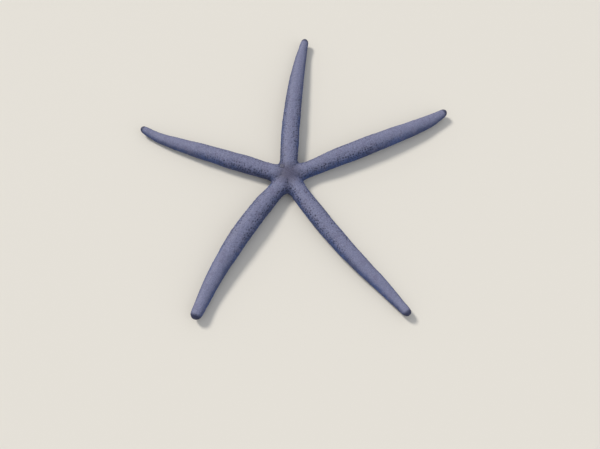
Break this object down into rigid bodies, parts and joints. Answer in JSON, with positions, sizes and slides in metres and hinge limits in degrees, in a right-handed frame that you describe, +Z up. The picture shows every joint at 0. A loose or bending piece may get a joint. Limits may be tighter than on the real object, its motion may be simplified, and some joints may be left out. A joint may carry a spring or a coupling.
{
  "type": "sea star",
  "caption": "Life-size still display model of a blue sea star lying flat: a small round disc, long round arms with blunt tips turned slightly up, a groove under each arm.",
  "frame": {"origin": "middle of the footprint's box, on the floor the animal lies on", "axes": "+Z up through the back; +Y roughly along the arm that points away from the viewer in the usual view; +X to that arm's right"},
  "size_m": [0.2572, 0.2592, 0.0149],
  "materials": {
    "skin": "matt, finely granular dusty blue skin, greyer lavender on its ridges, with rows of dark pore spots on its flanks",
    "terminal_plate": "smooth dark navy limy plate with a few worn bumps, satin",
    "madreporite": "blue-grey limy sieve plate with fine winding furrows, matt",
    "tube_feet": "soft pale straw-yellow flesh, slightly glossy"
  },
  "bodies": {
    "root": {"disc": "skin", "arm_a": "skin", "arm_b": "skin", "arm_c": "skin", "arm_d": "skin", "arm_e": "skin", "tip_a": "terminal_plate", "tip_b": "terminal_plate", "tip_c": "terminal_plate", "tip_d": "terminal_plate", "tip_e": "terminal_plate", "madreporite": "madreporite"}
  },
  "joints": []
}
